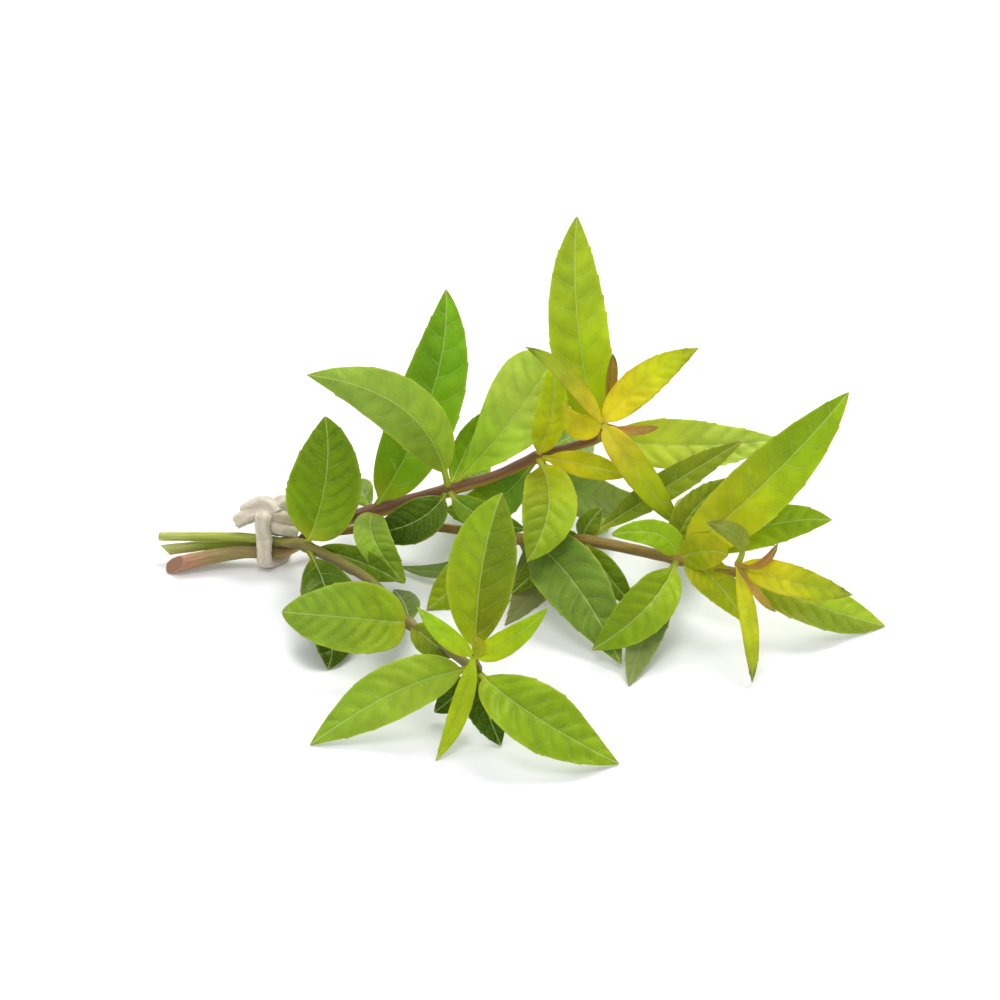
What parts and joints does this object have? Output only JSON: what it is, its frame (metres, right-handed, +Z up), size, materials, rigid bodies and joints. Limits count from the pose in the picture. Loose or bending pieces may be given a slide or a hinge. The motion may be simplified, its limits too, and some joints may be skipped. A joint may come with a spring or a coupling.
{
  "type": "bunch of lemon verbena",
  "caption": "Cut leafy herb sprigs with young yellow-green crowns, tied near their cut ends with a knotted cotton cord and lying on a surface",
  "frame": {"origin": "the middle of the bunch's bounds, on the surface that it lies on", "axes": "+X runs from the cut ends to the leaf tips, +Z is up, and -Y faces the viewer"},
  "size_m": [0.2184, 0.1802, 0.0982],
  "materials": {
    "leaf_green": "satin",
    "leaf_young": "satin",
    "cotton_cord": "matte"
  },
  "bodies": {
    "root": {"front_sprig": "leaf_green", "upper_sprig": "leaf_green", "right_sprig": "leaf_green", "front_crown": "leaf_young", "upper_crown": "leaf_young", "right_crown": "leaf_young", "twine_tie": "cotton_cord"}
  },
  "joints": []
}
